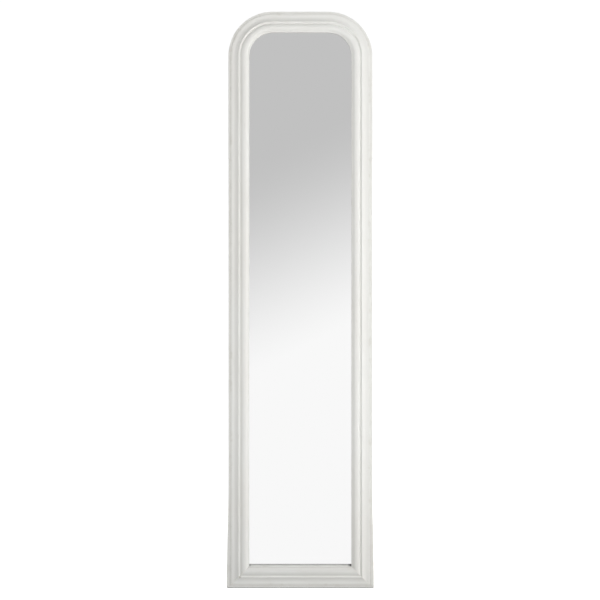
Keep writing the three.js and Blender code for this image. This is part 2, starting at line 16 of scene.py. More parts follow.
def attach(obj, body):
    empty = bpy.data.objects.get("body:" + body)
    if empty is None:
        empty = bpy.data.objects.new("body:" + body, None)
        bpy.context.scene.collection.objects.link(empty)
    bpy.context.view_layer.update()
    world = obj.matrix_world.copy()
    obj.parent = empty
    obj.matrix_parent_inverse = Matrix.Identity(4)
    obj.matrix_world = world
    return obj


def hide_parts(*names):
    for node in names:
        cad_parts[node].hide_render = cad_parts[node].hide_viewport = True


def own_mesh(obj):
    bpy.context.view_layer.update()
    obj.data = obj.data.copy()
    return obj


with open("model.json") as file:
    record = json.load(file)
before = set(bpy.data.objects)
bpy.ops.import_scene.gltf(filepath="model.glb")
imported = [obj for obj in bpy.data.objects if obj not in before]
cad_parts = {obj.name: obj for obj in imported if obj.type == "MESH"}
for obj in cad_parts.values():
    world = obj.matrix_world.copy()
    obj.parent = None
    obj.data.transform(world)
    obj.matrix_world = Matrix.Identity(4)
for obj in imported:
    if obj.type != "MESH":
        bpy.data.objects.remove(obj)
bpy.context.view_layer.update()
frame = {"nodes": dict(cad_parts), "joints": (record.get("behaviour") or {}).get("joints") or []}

# ---- Driving dimensions ----

HALF = 0.200  # half the frame's width
HEIGHT = 1.600
CORNER_RADIUS = 0.123
CORNER_X = HALF - CORNER_RADIUS
CORNER_Z = HEIGHT - CORNER_RADIUS
LEAN = math.radians(7)
OPENING = math.radians(-frame["joints"][0]["range_deg"][0])
QUARTER = math.pi / 2
MITRE_GAP = 0.00012
GLUE_GAP = 0.0003  # between CAD pieces that touch in the real object

# The moulding's section: IN and OUT are counted from its outer edge, UP from its back.
MEMBER = 0.058
FILLET_IN, FILLET_UP = 0.0073, 0.021
FLAT_IN, FLAT_UP = 0.014, 0.0225
RIDGE_OUT, RIDGE_IN, RIDGE_UP = 0.028, 0.0296, 0.027
GROOVE_IN, GROOVE_UP = 0.032, 0.0247
ROLL_IN, ROLL_BASE, ROLL_HALF, ROLL_RISE = 0.0443, 0.021, 0.0115, 0.0075
LIP_OUT, LIP_RISE, LIP_UP = 0.0532, 0.0249, 0.0238
RABBET_IN, RABBET_UP = 0.047, 0.018
REBATE_IN, REBATE_UP = 0.038, 0.0036
FLARE_OUT, FLARE_HEIGHT = 0.0045, 0.300

GLASS_FOOT, GLASS_FRONT = 0.050, -0.0177  # the glass's lower edge and front face, upright

CAMERA_DISTANCE = 4.90
PICTURE_SPAN = 1.6674  # what the picture's side covers at the mirror's face
AIM_ASIDE = 0.001  # the camera looks this far to the left of the mirror's middle

# ---- The two drawing frames ----


def drawn_points(node, to_row):
    """A CAD node's points in the drawing frame that `to_row` takes to the row frame."""
    to_drawing = to_row.inverted()
    return [to_drawing @ v.co for v in frame["nodes"][node].data.vertices]


def drawn_box(node, to_row):
    """A CAD node's lowest and highest corners in a drawing frame."""
    points = drawn_points(node, to_row)
    low = Vector(min(p[i] for p in points) for i in range(3))
    high = Vector(max(p[i] for p in points) for i in range(3))
    return low, high


HINGE = Vector(frame["joints"][0]["pos_m"])
LEAN_TURN = Matrix.Rotation(-LEAN, 4, "X")
GLASS_CORNER = drawn_box("mirror_glass", LEAN_TURN)[0]
UPRIGHT = LEAN_TURN @ Matrix.Translation((0, GLASS_CORNER.y - GLASS_FRONT, GLASS_CORNER.z - GLASS_FOOT))
LEG = Matrix.Translation(HINGE) @ Matrix.Rotation(OPENING - LEAN, 4, "X")
HINGE_LINE = UPRIGHT.inverted() @ HINGE


def upright_box(node):
    return drawn_box(node, UPRIGHT)


def leg_box(node):
    return drawn_box(node, LEG)


# ---- Materials ----


def ramp_node(tree, value, low, high, start, end, smooth=True):
    """`value` mapped from low..high to start..end, held at both ends."""
    made = tree.nodes.new("ShaderNodeMapRange")
    made.interpolation_type = "SMOOTHSTEP" if smooth else "LINEAR"
    tree.links.new(value, made.inputs["Value"])
    for socket, number in zip(("From Min", "From Max", "To Min", "To Max"), (low, high, start, end)):
        made.inputs[socket].default_value = number
    return made.outputs["Result"]


def math_node(tree, operation, *values):
    made = tree.nodes.new("ShaderNodeMath")
    made.operation = operation
    for socket, value in zip(made.inputs, values):
        if isinstance(value, (int, float)):
            socket.default_value = value
        else:
            tree.links.new(value, socket)
    return made.outputs["Value"]


class Look:
    """One procedural material, with short calls for the nodes that it is made of."""

    def __init__(self, name, color, roughness, metallic=0.0, **more):
        self.material = bpy.data.materials.new(name)
        self.material.use_nodes = True
        self.tree = self.material.node_tree
        self.shader = self.tree.nodes["Principled BSDF"]
        self.shader.inputs["Base Color"].default_value = (*color, 1)
        self.shader.inputs["Roughness"].default_value = roughness
        self.shader.inputs["Metallic"].default_value = metallic
        for socket, value in more.items():
            self.shader.inputs[socket.replace("_", " ")].default_value = value
        self.normal = None

    def node(self, kind, **settings):
        made = self.tree.nodes.new(kind)
        for key, value in settings.items():
            setattr(made, key, value)
        return made

    def link(self, source, target):
        self.tree.links.new(source, target)

    def attribute(self, name, output="Fac"):
        return self.node("ShaderNodeAttribute", attribute_name=name).outputs[output]

    def place(self, source, scale):
        """The coordinates `source`, stretched by a scale for each axis."""
        mapping = self.node("ShaderNodeMapping")
        mapping.inputs["Scale"].default_value = scale
        self.link(source, mapping.inputs["Vector"])
        return mapping.outputs["Vector"]

    def object_place(self, scale=(1, 1, 1)):
        return self.place(self.node("ShaderNodeTexCoord").outputs["Object"], scale)

    def noise(self, place, scale=1.0, detail=4.0, roughness=0.5, distortion=0.0):
        made = self.node("ShaderNodeTexNoise")
        self.link(place, made.inputs["Vector"])
        made.inputs["Scale"].default_value = scale
        made.inputs["Detail"].default_value = detail
        made.inputs["Roughness"].default_value = roughness
        made.inputs["Distortion"].default_value = distortion
        return made.outputs["Fac"]

    def ramp(self, value, low, high, start=0.0, end=1.0, smooth=True):
        return ramp_node(self.tree, value, low, high, start, end, smooth)

    def math(self, operation, a, b):
        return math_node(self.tree, operation, a, b)

    def mix(self, factor, a, b):
        made = self.node("ShaderNodeMix", data_type="RGBA")
        self.link(factor, made.inputs["Factor"])
        for socket, value in (("A", a), ("B", b)):
            target = next(s for s in made.inputs if s.name == socket and s.type == "RGBA")
            if isinstance(value, tuple):
                target.default_value = (*value, 1)
            else:
                self.link(value, target)
        return next(s for s in made.outputs if s.type == "RGBA")

    def color(self, source):
        self.link(source, self.shader.inputs["Base Color"])

    def roughness(self, source):
        self.link(source, self.shader.inputs["Roughness"])

    def bump(self, height, depth, strength):
        """One more layer of relief, `depth` metres deep."""
        made = self.node("ShaderNodeBump")
        made.inputs["Distance"].default_value = depth
        made.inputs["Strength"].default_value = strength
        self.link(height, made.inputs["Height"])
        if self.normal is not None:
            self.link(self.normal, made.inputs["Normal"])
        self.normal = made.outputs["Normal"]
        self.link(self.normal, self.shader.inputs["Normal"])


PAINT = (0.79, 0.79, 0.762)


def painted_wood():
    look = Look("painted_wood", PAINT, 0.5)
    grain = look.attribute("grain", "Vector")
    strokes = look.noise(look.place(grain, (9, 520, 1)), detail=3, roughness=0.6)
    drift = look.noise(look.object_place((3, 3, 1.4)), scale=2.2, detail=3)
    patches = look.noise(look.object_place(), scale=34, detail=5, roughness=0.65)
    speckle = look.noise(look.object_place(), scale=420, detail=2)
    color = look.mix(look.ramp(drift, 0.35, 0.7), PAINT, (0.765, 0.757, 0.722))
    color = look.mix(look.ramp(strokes, 0.3, 0.75, 0, 0.35), color, (0.70, 0.695, 0.662))
    # Dirt and painted shade: the hollows, the mitres and the chip darkened towards a warm grey.
    dirt_and_shade = look.math("MULTIPLY", look.attribute("dirt_and_shade"), look.ramp(patches, 0.25, 0.7, 0.35, 0.95))
    color = look.mix(dirt_and_shade, color, (0.40, 0.385, 0.335))
    rubbed = look.math("MULTIPLY", look.attribute("wear"), look.ramp(patches, 0.52, 0.66))
    color = look.mix(look.math("MULTIPLY", rubbed, 0.55), color, (0.50, 0.455, 0.375))
    look.color(color)
    look.roughness(look.ramp(strokes, 0.3, 0.7, 0.42, 0.6, smooth=False))
    look.bump(strokes, 0.00022, 0.55)
    look.bump(speckle, 0.00006, 0.4)
    look.bump(look.math("SUBTRACT", 1.0, rubbed), 0.00015, 0.6)
    return look.material


def bare_wood():
    look = Look("bare_wood", (0.50, 0.36, 0.22), 0.72)
    grain = look.attribute("grain", "Vector")
    rings = look.noise(look.place(grain, (2.2, 60, 1)), detail=4, roughness=0.55, distortion=0.9)
    pores = look.noise(look.place(grain, (30, 900, 1)), detail=2)
    color = look.mix(look.ramp(rings, 0.35, 0.65), (0.56, 0.41, 0.255), (0.40, 0.265, 0.145))
    color = look.mix(look.ramp(pores, 0.55, 0.75, 0, 0.5), color, (0.26, 0.17, 0.095))
    look.color(color)
    look.bump(pores, 0.0002, 0.5)
    return look.material


def hardboard():
    look = Look("hardboard", (0.22, 0.125, 0.065), 0.55)
    cloud = look.noise(look.object_place(), scale=14, detail=6, roughness=0.7)
    fibres = look.noise(look.object_place(), scale=900, detail=3, roughness=0.7)
    color = look.mix(look.ramp(cloud, 0.3, 0.7), (0.235, 0.135, 0.07), (0.165, 0.09, 0.045))
    color = look.mix(look.ramp(fibres, 0.45, 0.7, 0, 0.5), color, (0.33, 0.215, 0.12))
    look.color(color)
    look.roughness(look.ramp(cloud, 0.3, 0.7, 0.45, 0.65))
    look.bump(fibres, 0.00008, 0.5)
    return look.material


def silvered_glass():
    look = Look("silvered_glass", (0.935, 0.935, 0.935), 0.01, metallic=1.0)
    smears = look.noise(look.object_place((1, 1, 0.5)), scale=7, detail=4, roughness=0.6)
    look.roughness(look.ramp(smears, 0.45, 0.75, 0.004, 0.03))
    return look.material


def glass_edge():
    look = Look("glass_edge", (0.30, 0.47, 0.40), 0.18)
    waves = look.noise(look.object_place(), scale=260, detail=3)
    look.color(look.mix(look.ramp(waves, 0.35, 0.65), (0.27, 0.45, 0.38), (0.42, 0.58, 0.51)))
    look.bump(waves, 0.0001, 0.3)
    return look.material


def backing_paint():
    look = Look("backing_paint", (0.20, 0.21, 0.215), 0.6)
    cloud = look.noise(look.object_place(), scale=40, detail=5)
    look.color(look.mix(look.ramp(cloud, 0.35, 0.65), (0.17, 0.18, 0.185), (0.24, 0.25, 0.255)))
    look.bump(cloud, 0.00005, 0.3)
    return look.material


def brushed_steel(name, tint, roughness, along):
    look = Look(name, tint, roughness, metallic=1.0)
    scratches = look.noise(look.object_place(along), detail=3, roughness=0.7)
    stains = look.noise(look.object_place(), scale=160, detail=5, roughness=0.7)
    dull = tuple(c * 0.62 for c in tint)
    look.color(look.mix(look.ramp(stains, 0.45, 0.72, 0, 0.8), tint, dull))
    look.roughness(look.ramp(scratches, 0.3, 0.7, roughness - 0.1, roughness + 0.14))
    look.bump(scratches, 0.00003, 0.5)
    return look.material


def rubber():
    look = Look("grey_rubber", (0.25, 0.25, 0.24), 0.75)
    dust = look.noise(look.object_place(), scale=90, detail=5, roughness=0.7)
    grit = look.noise(look.object_place(), scale=1400, detail=2)
    look.color(look.mix(look.ramp(dust, 0.4, 0.75), (0.30, 0.30, 0.29), (0.40, 0.395, 0.375)))
    look.roughness(look.ramp(dust, 0.3, 0.7, 0.65, 0.88))
    look.bump(grit, 0.00008, 0.5)
    return look.material


def shadow_grey_seal():
    # The seal's grey stands in for the shadow line along the glass's foot.
    look = Look("shadow_grey_seal", (0.30, 0.30, 0.285), 0.7)
    dust = look.noise(look.object_place(), scale=60, detail=5, roughness=0.7)
    seal = look.mix(look.ramp(dust, 0.35, 0.7), (0.42, 0.42, 0.405), (0.50, 0.498, 0.48))
    color = look.mix(look.attribute("lap"), seal, PAINT)
    # Painted shade in the frame's inner corners: the seal's ends go near black.
    look.color(look.mix(look.attribute("dirt_and_shade"), color, (0.055, 0.055, 0.05)))
    look.bump(dust, 0.0001, 0.4)
    return look.material


def foam():
    look = Look("foam", (0.66, 0.64, 0.58), 0.95)
    cells = look.node("ShaderNodeTexVoronoi")
    look.link(look.object_place(), cells.inputs["Vector"])
    cells.inputs["Scale"].default_value = 1200
    distance = cells.outputs["Distance"]
    look.color(look.mix(look.ramp(distance, 0.2, 0.7), (0.55, 0.53, 0.47), (0.70, 0.68, 0.62)))
    look.bump(distance, 0.0003, 0.6)
    return look.material


def webbing():
    """Plain-woven tape: the grain attribute holds metres along and across the strap."""
    look = Look("webbing", (0.70, 0.665, 0.57), 0.9, Sheen_Weight=0.35)
    grain = look.attribute("grain", "Vector")
    weft = look.node("ShaderNodeTexWave", wave_type="BANDS", bands_direction="X", wave_profile="SIN")
    warp = look.node("ShaderNodeTexWave", wave_type="BANDS", bands_direction="Y", wave_profile="SIN")
    for wave, pitch in ((weft, 0.0011), (warp, 0.0016)):
        look.link(grain, wave.inputs["Vector"])
        wave.inputs["Scale"].default_value = math.pi / 10 / pitch
    threads = look.math("MULTIPLY", weft.outputs["Fac"], warp.outputs["Fac"])
    wisps = look.noise(look.place(grain, (300, 1500, 1)), detail=3, roughness=0.7)
    color = look.mix(look.ramp(threads, 0.0, 0.6), (0.42, 0.385, 0.30), (0.73, 0.70, 0.61))
    color = look.mix(look.ramp(wisps, 0.5, 0.8, 0, 0.5), color, (0.80, 0.77, 0.69))
    look.color(color)
    look.bump(threads, 0.0004, 0.8)
    look.bump(wisps, 0.0001, 0.4)
    return look.material


MATERIALS = {
    "painted_wood": painted_wood(),
    "bare_wood": bare_wood(),
    "back_panel": hardboard(),
    "mirror_glass": silvered_glass(),
    "glass_edge": glass_edge(),
    "backing_paint": backing_paint(),
    "hinge_steel": brushed_steel("hinge_steel", (0.56, 0.55, 0.53), 0.38, (30, 700, 700)),
    "screw_steel": brushed_steel("screw_steel", (0.64, 0.62, 0.56), 0.32, (500, 500, 500)),
    "rubber": rubber(),
    "shadow_grey_seal": shadow_grey_seal(),
    "foam": foam(),
    "webbing": webbing(),
}

# ---- Mesh helpers ----


def in_scene(name, data):
    """A new object with this data, in the scene."""
    made = bpy.data.objects.new(name, data)
    bpy.context.scene.collection.objects.link(made)
    return made


def new_object(name, verts, faces, materials):
    mesh = bpy.data.meshes.new(name)
    mesh.from_pydata([tuple(v) for v in verts], [], faces)
    for key in materials:
        mesh.materials.append(MATERIALS[key])
    return in_scene(name, mesh)


def face_outwards(obj):
    work = bmesh.new()
    work.from_mesh(obj.data)
    bmesh.ops.recalc_face_normals(work, faces=work.faces)
    work.to_mesh(obj.data)
    work.free()


def smooth(obj, degrees=35):
    obj.data.shade_smooth()
    obj.data.set_sharp_from_angle(angle=math.radians(degrees))


def settle(obj):
    """Applies the object's modifiers."""
    graph = bpy.context.evaluated_depsgraph_get()
    made = bpy.data.meshes.new_from_object(obj.evaluated_get(graph))
    old = obj.data
    obj.modifiers.clear()
    obj.data = made
    made.name = obj.name
    bpy.data.meshes.remove(old)


def bevelled(obj, width, segments=3, degrees=30):
    bevel = obj.modifiers.new("bevel", "BEVEL")
    bevel.width = width
    bevel.segments = segments
    bevel.limit_method = "ANGLE"
    bevel.angle_limit = math.radians(degrees)
    settle(obj)


def combined(obj, others, operation):
    """The solid joined with, or cut by, the others, which are used up."""
    for other in others:
        step = obj.modifiers.new("solid", "BOOLEAN")
        step.operation = operation
        step.solver = "EXACT"
        step.object = other
    bpy.context.view_layer.update()
    settle(obj)
    for other in others:
        bpy.data.objects.remove(other, do_unlink=True)


def arc(x, y, radius, start, end, steps):
    """Points on a circle about (x, y), from one angle to another."""
    angles = [start + (end - start) * i / steps for i in range(steps + 1)]
    return [(x + radius * math.cos(a), y + radius * math.sin(a)) for a in angles]


def loft(name, rings, materials, closed=False):
    """A tube of equal rings of points, capped at both ends unless it closes on itself."""
    count = len(rings[0])
    verts = [p for ring in rings for p in ring]
    faces = []
    spans = len(rings) if closed else len(rings) - 1
    for i in range(spans):
        near, far = i * count, ((i + 1) % len(rings)) * count
        for j in range(count):
            k = (j + 1) % count
            faces.append((near + j, near + k, far + k, far + j))
    if not closed:
        faces.append(tuple(reversed(range(count))))
        faces.append(tuple(range(len(verts) - count, len(verts))))
    made = new_object(name, verts, faces, materials)
    face_outwards(made)
    return made


def prism(name, outline, low, high, axis, materials):
    """A flat outline, drawn in the two other axes in their order, from low to high along an axis."""
    def at(point, level):
        values = list(point)
        values.insert("xyz".index(axis), level)
        return Vector(values)

    return loft(name, [[at(p, level) for p in outline] for level in (low, high)], materials)


def board(name, low, high, materials):
    """A square plank."""
    outline = [(low.y, low.z), (high.y, low.z), (high.y, high.z), (low.y, high.z)]
    return prism(name, outline, low.x, high.x, "x", materials)


def lathe(name, profile, segments, materials):
    """A profile of (radius, height) points turned about +Y. It starts and ends on the axis."""
    inner = profile[1:-1]
    verts = [Vector((0, profile[0][1], 0)), Vector((0, profile[-1][1], 0))]
    for i in range(segments):
        angle = 2 * math.pi * i / segments
        verts += [Vector((r * math.cos(angle), h, r * math.sin(angle))) for r, h in inner]
    faces = []
    for i in range(segments):
        near = 2 + i * len(inner)
        far = 2 + ((i + 1) % segments) * len(inner)
        faces.append((0, near, far))
        faces.append((1, far + len(inner) - 1, near + len(inner) - 1))
        for j in range(len(inner) - 1):
            faces.append((near + j, near + j + 1, far + j + 1, far + j))
    made = new_object(name, verts, faces, materials)
    face_outwards(made)
    return made


def set_attribute(mesh, name, kind, values):
    layer = mesh.attributes.new(name, kind, "POINT")
    flat = [x for v in values for x in v] if kind == "FLOAT_VECTOR" else values
    layer.data.foreach_set("vector" if kind == "FLOAT_VECTOR" else "value", flat)


def grain_along(obj, along):
    """Grain coordinates for a straight board drawn along the axis `along`."""
    first, second = [i for i in range(3) if i != along]
    grain = [(v.co[along], v.co[first] + 1.7 * v.co[second], 0) for v in obj.data.vertices]
    set_attribute(obj.data, "grain", "FLOAT_VECTOR", grain)


def finish_piece(obj, to_row, body, node):
    """Moves a drawn piece into the row frame and hands it to its CAD body, in place of a node."""
    obj.data.transform(to_row)
    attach(obj, body)
    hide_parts(node)


# ---- The moulded frame ----


def rounded(points):
    """The closed outline through (in, up, radius) points, with an arc at each that has a radius."""
    steps = 4
    outline = []
    for i, (x, y, radius) in enumerate(points):
        here = Vector((x, y))
        if not radius:
            outline.append(here)
            continue
        before = (Vector(points[i - 1][:2]) - here).normalized()
        after = (Vector(points[(i + 1) % len(points)][:2]) - here).normalized()
        half = before.angle(after) / 2
        reach = radius / math.tan(half)
        centre = here + (before + after).normalized() * (radius / math.sin(half))
        start, end = here + before * reach - centre, here + after * reach - centre
        sweep = start.angle_signed(end)
        for step in range(steps + 1):
            turn = Matrix.Rotation(-sweep * step / steps, 2)
            outline.append(centre + turn @ start)
    return outline


def moulding_outline():
    """The moulding's section in full, counted in from its outer edge and up from its back."""
    turn = (FLAT_IN + RIDGE_OUT) / 2
    cove = []
    for i in range(10):
        t = i / 10
        x = (1 - t) ** 2 * FLAT_IN + 2 * t * (1 - t) * turn + t * t * RIDGE_OUT
        y = (1 - t * t) * FLAT_UP + t * t * RIDGE_UP
        cove.append((x, y, 0))
    start = math.pi - math.asin((GROOVE_UP - ROLL_BASE) / ROLL_RISE)
    end = math.acos((LIP_OUT - ROLL_IN) / ROLL_HALF)
    roll = []
    for i in range(1, 25):
        a = start + (end - start) * i / 24
        roll.append((ROLL_IN + ROLL_HALF * math.cos(a), ROLL_BASE + ROLL_RISE * math.sin(a), 0))
    roll_foot = ROLL_IN + ROLL_HALF * math.cos(start)
    return rounded(
        [
            (0, 0, 0.0008),
            (0, FILLET_UP, 0.0013),
            (FILLET_IN, FILLET_UP, 0.0004),
            (FILLET_IN, FLAT_UP, 0.0006),
            *cove,
            (RIDGE_OUT, RIDGE_UP, 0.0005),
            (RIDGE_IN, RIDGE_UP, 0.0006),
            (GROOVE_IN, GROOVE_UP, 0.0006),
            (roll_foot, GROOVE_UP, 0.0004),
            *roll,
            (LIP_OUT, LIP_RISE, 0.0003),
            (MEMBER, LIP_UP, 0.0006),
            (MEMBER, RABBET_UP, 0.0002),
            (RABBET_IN, RABBET_UP, 0),
            (RABBET_IN, REBATE_UP, 0),
            (REBATE_IN, REBATE_UP, 0),
            (REBATE_IN, 0, 0.0003),
        ]
    )


SECTION = moulding_outline()

# Edges where the paint rubs thin, and hollows darkened by dirt and by painted shade (the riser's shadow
# line, the groove, the lip), as (in, up, weight).
ARRISES = [
    (0.0006, FILLET_UP, 0.45),
    (FILLET_IN + 0.0003, FLAT_UP, 0.45),
    ((RIDGE_OUT + RIDGE_IN) / 2, RIDGE_UP, 0.3),
    (ROLL_IN, ROLL_BASE + ROLL_RISE, 0.3),
    (MEMBER, LIP_UP, 0.3),
]
HOLLOWS = [
    (FILLET_IN, FILLET_UP, 0.8),
    (GROOVE_IN + 0.001, GROOVE_UP, 0.35),
    (LIP_OUT, LIP_RISE, 0.2),
]
ARRIS_SPREAD, HOLLOW_SPREAD = 0.0007, 0.0006
HOLLOW_DIRT_AND_SHADE = 0.55


def nearness(point, marks, spread):
    return max(
        weight * math.exp(-((point - Vector((x, y))).length_squared) / (2 * spread * spread))
        for x, y, weight in marks
    )


def spread_of_flare(z):
    t = min(max(1 - z / FLARE_HEIGHT, 0), 1)
    return FLARE_OUT * t * t * (3 - 2 * t)


def flare_share(p):
    """A section point's share of the foot's spread: all at the outer edge, none past the fillet."""
    return max(0.0, 1 - p.x / FILLET_IN)


# The section is bare wood on its back, and in the rebate and rabbet.
BARE_BACK, BARE_IN, BARE_UP = 0.0004, REBATE_IN - 0.0005, RABBET_UP + 0.0001


def moulded(name, rings, along, marks):
    """A member swept through rings of the section, with the painter's data on its points."""
    piece = loft(name, rings, ["painted_wood", "bare_wood"])
    across, total = [], 0.0
    for i, p in enumerate(SECTION):
        total += (p - SECTION[i - 1]).length if i else 0
        across.append(total)
    wear = [nearness(p, ARRISES, ARRIS_SPREAD) for p in SECTION]
    dirt_and_shade = [nearness(p, HOLLOWS, HOLLOW_SPREAD) for p in SECTION]
    grain = [(place, a, 0) for place in along for a in across]
    # The hollows' darkening, dirt and painted shade, deepened near the mitres.
    hollow_darkening = [min(1.0, g * (HOLLOW_DIRT_AND_SHADE + mark)) for mark in marks for g in dirt_and_shade]
    set_attribute(piece.data, "grain", "FLOAT_VECTOR", grain)
    set_attribute(piece.data, "wear", "FLOAT", wear * len(rings))
    set_attribute(piece.data, "dirt_and_shade", "FLOAT", hollow_darkening)
    bare = [p.y < BARE_BACK or (p.x > BARE_IN and p.y < BARE_UP) for p in SECTION]
    for polygon in piece.data.polygons:
        cap = len(polygon.vertices) > 4
        polygon.material_index = int(cap or all(bare[v % len(SECTION)] for v in polygon.vertices))
    smooth(piece)
    return piece


CHIP = Vector((0.0315 - HALF, 0.0292))  # its place across and up the frame
# The chip's reach and depth, and how dark its dirt and painted shade are.
CHIP_REACH, CHIP_DEPTH, CHIP_DIRT_AND_SHADE = 0.0024, 0.0018, 1.7


def chip_ridge(mesh):
    """A small chip in the ridge, at the left mitre, darkened inside by dirt and by painted shade."""
    darkening = mesh.attributes["dirt_and_shade"]
    for i, vertex in enumerate(mesh.vertices):
        off = (Vector((vertex.co.x, vertex.co.z)) - CHIP).length / CHIP_REACH
        share = math.exp(-off * off)
        if vertex.co.y < -GROOVE_UP and share > 0.02:
            vertex.co.y += CHIP_DEPTH * share
            darkening.data[i].value = max(darkening.data[i].value, CHIP_DIRT_AND_SHADE * share)


def stations(count, mitres, length):
    """Shares of a length from 0 to 1, closer together where there is a mitre."""
    shares = [i / count for i in range(count + 1)]
    close = [step / length for step in (0.0008, 0.0016, 0.0028, 0.0044, 0.0064, 0.0096)]
    if "start" in mitres:
        shares += close
    if "end" in mitres:
        shares += [1 - c for c in close]
    return sorted(shares)


def mitre_mark(share, mitres, length):
    """How much darker the hollows are, by the distance from the nearest mitre."""
    away = [share] * ("start" in mitres) + [1 - share] * ("end" in mitres)
    return 0.45 * math.exp(-min(away) * length / 0.005) if away else 0.0


def member(node, place, length, count, mitres, grain_start):
    """A member of the frame. `place` puts a point of the section at a share of its length."""
    shares = stations(count, mitres, length)
    rings = [[place(p, share) for p in SECTION] for share in shares]
    along = [grain_start + length * share for share in shares]
    marks = [mitre_mark(share, mitres, length) for share in shares]
    piece = moulded(node + "_moulding", rings, along, marks)
    chip_ridge(piece.data)
    finish_piece(piece, UPRIGHT, "mirror_frame", node)


def stile(name, side):
    def place(p, share):
        foot = p.x + MITRE_GAP
        z = foot + (CORNER_Z - foot) * share
        x = HALF - p.x + spread_of_flare(z) * flare_share(p)
        return Vector((side * x, -p.y, z))

    member(name + "_stile", place, CORNER_Z, 44, "start", 3 * side)


def round_corner(name, side):
    def place(p, share):
        angle = QUARTER * share
        radius = CORNER_RADIUS - p.x
        x = side * (CORNER_X + radius * math.cos(angle))
        return Vector((x, -p.y, CORNER_Z + radius * math.sin(angle)))

    member(name + "_corner", place, QUARTER * CORNER_RADIUS, 30, "", 5 + side)


def bottom_rail():
    def place(p, share):
        reach = HALF - p.x + FLARE_OUT * flare_share(p) - MITRE_GAP
        return Vector((reach * (2 * share - 1), -p.y, p.x))

    member("bottom_rail", place, 2 * HALF, 16, "start end", 7)


def top_rail():
    def place(p, share):
        return Vector((CORNER_X * (2 * share - 1), -p.y, HEIGHT - p.x))

    member("top_rail", place, 2 * CORNER_X, 6, "", 9 - CORNER_X)


# ---- The glass ----


def pane_outline(inset, foot):
    half, radius = HALF - inset, CORNER_RADIUS - inset
    crown = arc(CORNER_X, CORNER_Z, radius, 0, QUARTER, 24)
    crown += arc(-CORNER_X, CORNER_Z, radius, QUARTER, 2 * QUARTER, 24)
    return [(-half, foot), (half, foot), *crown]


def mirror_glass():
    low, high = upright_box("mirror_glass")
    ground = 0.0008  # the ground arris round both faces
    layers = [(low.y, ground), (low.y + ground, 0), (high.y - ground, 0), (high.y, ground)]
    inset = HALF - high.x
    rings = []
    for y, step in layers:
        outline = pane_outline(inset + step, low.z + step)
        rings.append([Vector((x, y, z)) for x, z in outline])
    pane = loft("silvered_pane", rings, ["mirror_glass", "glass_edge", "backing_paint"])
    for polygon in pane.data.polygons:
        face = 0 if polygon.center.y < (low.y + high.y) / 2 else 2
        polygon.material_index = 1 if len(polygon.vertices) == 4 else face
    finish_piece(pane, UPRIGHT, "mirror_frame", "mirror_glass")


PAINT_LAP = 0.48  # how far up the seal the frame's paint laps over it
PAINT_EDGE = 0.0003
SEAL_ROUND = 0.0012
SHADE_LEFT, SHADE_RIGHT = 0.015, 0.036  # how far the painted shade of the inner corners reaches along the seal, as shares of it


def glazing_strip():
    """The grey seal along the glass's foot, its grey standing in for the shadow line there, with painted
    shade darkening its left end and more so its right.
    """
    low, high = upright_box("glazing_strip")
    outline = [(high.y, low.z), (high.y, high.z)]
    outline += arc(low.y + SEAL_ROUND, high.z - SEAL_ROUND, SEAL_ROUND, QUARTER, 2 * QUARTER, 5)
    lap = low.z + (high.z - low.z) * PAINT_LAP
    outline += [(low.y, lap + PAINT_EDGE), (low.y, lap - PAINT_EDGE), (low.y, low.z)]
    painted = [float(i >= len(outline) - 2) for i in range(len(outline))]
    shares = [0, 0.005, 0.01, 0.02, 0.03, 0.5, 0.94, 0.96, 0.97, 0.98, 0.99, 1]
    rings = [[Vector((low.x + (high.x - low.x) * t, y, z)) for y, z in outline] for t in shares]
    seal = loft("glazing_seal", rings, ["shadow_grey_seal"])
    # Painted shade at the seal's ends, in the frame's inner corners, strongest at the right.
    darkening = [max(0.0, 0.5 * (1 - t / SHADE_LEFT), 1 - (1 - t) / SHADE_RIGHT) ** 0.7 for t in shares]
    set_attribute(seal.data, "dirt_and_shade", "FLOAT", [amount for amount in darkening for _ in outline])
    set_attribute(seal.data, "lap", "FLOAT", painted * len(shares))
    smooth(seal)
    finish_piece(seal, UPRIGHT, "mirror_frame", "glazing_strip")


def setting_block(name):
    """A rubber block that the glass stands on, bulged a little by the weight."""
    node = f"setting_block_{name}"
    low, high = upright_box(node)
    middle, half = (low.z + high.z) / 2, (high.z - low.z) / 2
    bulge = 0.0003
    rows = [(middle + half * k / 3, bulge * (1 - (k / 3) ** 2)) for k in range(-3, 4)]
    outline = [(low.y + bulge - out, z) for z, out in rows]
    outline += [(high.y - bulge + out, z) for z, out in reversed(rows)]
    block = prism(node + "_rubber", outline, low.x, high.x, "x", ["rubber"])
    bevelled(block, 0.0004, 2)
    smooth(block)
    finish_piece(block, UPRIGHT, "mirror_frame", node)


def glass_cushion(name):
    """A foam strip, pressed flat by the glass and the panel, with full, slightly uneven sides."""
    node = f"glass_cushion_{name}"
    low, high = upright_box(node)
    centre = (low + high) / 2
    half = (high - low) / 2
    pinch, unevenness, end_ease = 0.00045, 0.0002, 0.0008
    rings = []
    rows, sides = 96, 20
    for i in range(rows + 1):
        z = low.z + (high.z - low.z) * i / rows
        ripple = unevenness * math.sin(61 * z + 1.3) * math.sin(23 * z)
        ease = end_ease if i in (0, rows) else 0.0
        ring = []
        for k in range(sides):
            angle = 2 * math.pi * (k + 0.5) / sides
            c, s = math.cos(angle), math.sin(angle)
            x = math.copysign(abs(c) ** 0.55, c) * (half.x - pinch + ripple - ease)
            y = math.copysign(abs(s) ** 0.35, s) * (half.y - ease)
            ring.append(Vector((centre.x + x, centre.y + y, z)))
        rings.append(ring)
    strip = loft(node + "_foam", rings, ["foam"])
    smooth(strip, 60)
    finish_piece(strip, UPRIGHT, "mirror_frame", node)


# ---- Screws ----


